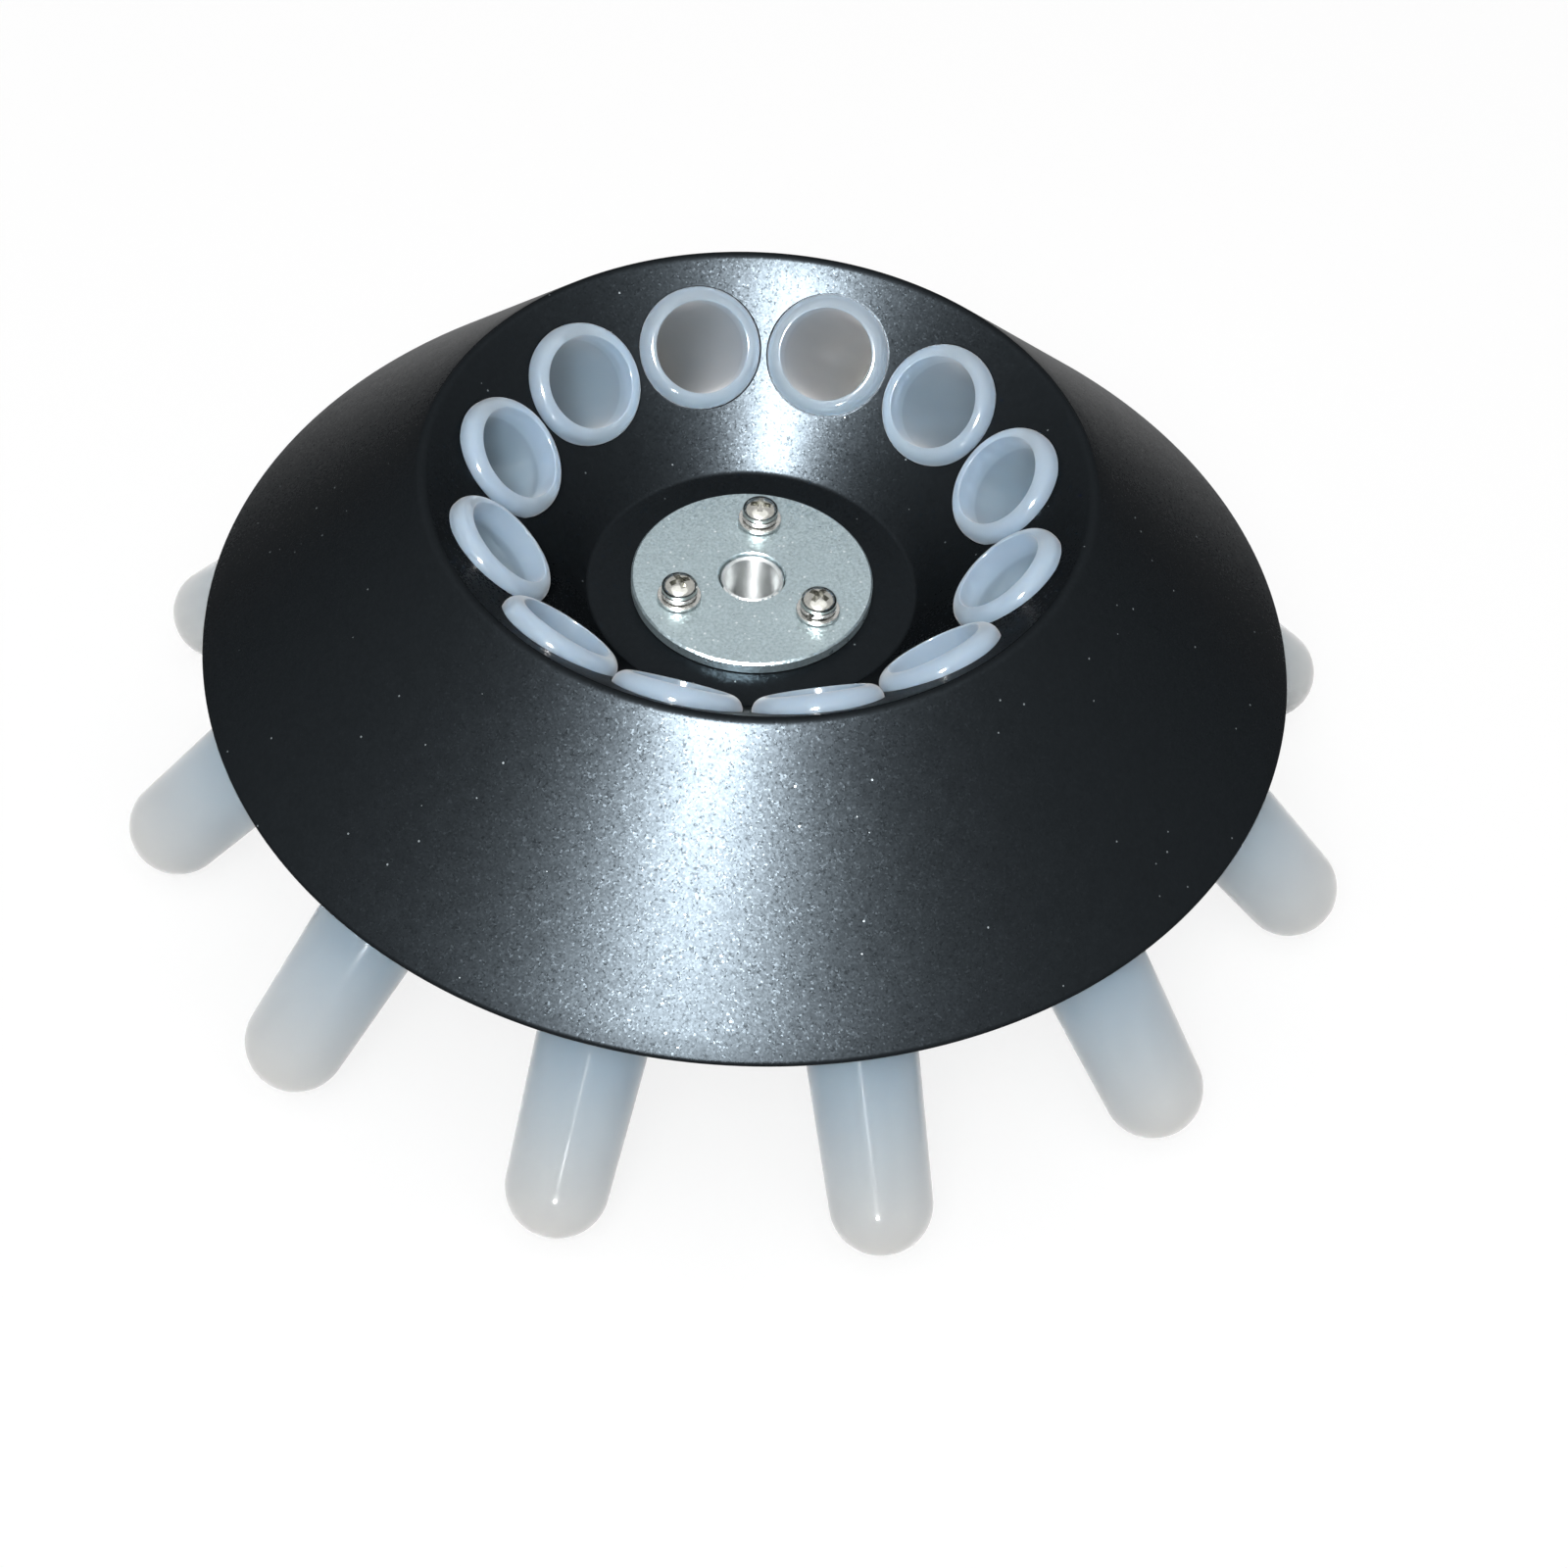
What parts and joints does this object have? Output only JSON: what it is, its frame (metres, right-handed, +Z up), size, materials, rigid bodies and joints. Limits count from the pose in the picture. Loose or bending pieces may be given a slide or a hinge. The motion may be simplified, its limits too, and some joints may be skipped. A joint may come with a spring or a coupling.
{
  "type": "centrifuge angle rotor",
  "caption": "Cone-shaped fixed-angle centrifuge rotor with a ring of flanged tube sleeves leaning outwards, a bolted hub plate and a bored shaft hub.",
  "frame": {"origin": "centre of the hub's lower end, on the rotor's axis of spin, where the rotor stands", "axes": "+Z up the axis of spin, out of the bowl; +Y midway between tube_sleeve_12 and tube_sleeve_01"},
  "size_m": [0.2562, 0.2562, 0.0945],
  "materials": {
    "black_coat": "satin black powder coat on cast aluminium, fine grain",
    "hub_metal": "satin, turned",
    "anodised_plate": "satin, bead blasted and anodised",
    "plated_screw": "polished nickel plate",
    "spring_steel": "satin nickel plate",
    "washer_steel": "satin nickel plate",
    "sleeve_plastic": "satin, translucent moulded polypropylene"
  },
  "bodies": {
    "rotor": {"rotor_head": "black_coat", "shaft_hub": "hub_metal", "hub_plate": "anodised_plate", "hub_screw_1": "plated_screw", "hub_screw_2": "plated_screw", "hub_screw_3": "plated_screw", "spring_washer_1": "spring_steel", "spring_washer_2": "spring_steel", "spring_washer_3": "spring_steel", "flat_washer_1": "washer_steel", "flat_washer_2": "washer_steel", "flat_washer_3": "washer_steel"},
    "sleeve_01": {"tube_sleeve_01": "sleeve_plastic"},
    "sleeve_02": {"tube_sleeve_02": "sleeve_plastic"},
    "sleeve_03": {"tube_sleeve_03": "sleeve_plastic"},
    "sleeve_04": {"tube_sleeve_04": "sleeve_plastic"},
    "sleeve_05": {"tube_sleeve_05": "sleeve_plastic"},
    "sleeve_06": {"tube_sleeve_06": "sleeve_plastic"},
    "sleeve_07": {"tube_sleeve_07": "sleeve_plastic"},
    "sleeve_08": {"tube_sleeve_08": "sleeve_plastic"},
    "sleeve_09": {"tube_sleeve_09": "sleeve_plastic"},
    "sleeve_10": {"tube_sleeve_10": "sleeve_plastic"},
    "sleeve_11": {"tube_sleeve_11": "sleeve_plastic"},
    "sleeve_12": {"tube_sleeve_12": "sleeve_plastic"}
  },
  "joints": [
    {"name": "sleeve_01_lift", "type": "slide", "parent": "rotor", "child": "sleeve_01", "axis": [-0.183, -0.683, 0.7071], "range_m": [0, 0.112]},
    {"name": "sleeve_02_lift", "type": "slide", "parent": "rotor", "child": "sleeve_02", "axis": [0.5, 0.5, -0.7071], "range_m": [-0.112, 0]},
    {"name": "sleeve_03_lift", "type": "slide", "parent": "rotor", "child": "sleeve_03", "axis": [-0.683, -0.183, 0.7071], "range_m": [0, 0.035]},
    {"name": "sleeve_04_lift", "type": "slide", "parent": "rotor", "child": "sleeve_04", "axis": [0.683, -0.183, -0.7071], "range_m": [-0.035, 0]},
    {"name": "sleeve_05_lift", "type": "slide", "parent": "rotor", "child": "sleeve_05", "axis": [-0.5, 0.5, 0.7071], "range_m": [0, 0.035]},
    {"name": "sleeve_06_lift", "type": "slide", "parent": "rotor", "child": "sleeve_06", "axis": [0.183, -0.683, -0.7071], "range_m": [-0.035, 0]},
    {"name": "sleeve_07_lift", "type": "slide", "parent": "rotor", "child": "sleeve_07", "axis": [0.183, 0.683, 0.7071], "range_m": [0, 0.035]},
    {"name": "sleeve_08_lift", "type": "slide", "parent": "rotor", "child": "sleeve_08", "axis": [-0.5, -0.5, -0.7071], "range_m": [-0.035, 0]},
    {"name": "sleeve_09_lift", "type": "slide", "parent": "rotor", "child": "sleeve_09", "axis": [0.683, 0.183, 0.7071], "range_m": [0, 0.035]},
    {"name": "sleeve_10_lift", "type": "slide", "parent": "rotor", "child": "sleeve_10", "axis": [-0.683, 0.183, -0.7071], "range_m": [-0.035, 0]},
    {"name": "sleeve_11_lift", "type": "slide", "parent": "rotor", "child": "sleeve_11", "axis": [0.5, -0.5, 0.7071], "range_m": [0, 0.035]},
    {"name": "sleeve_12_lift", "type": "slide", "parent": "rotor", "child": "sleeve_12", "axis": [-0.183, 0.683, -0.7071], "range_m": [-0.035, 0]}
  ]
}
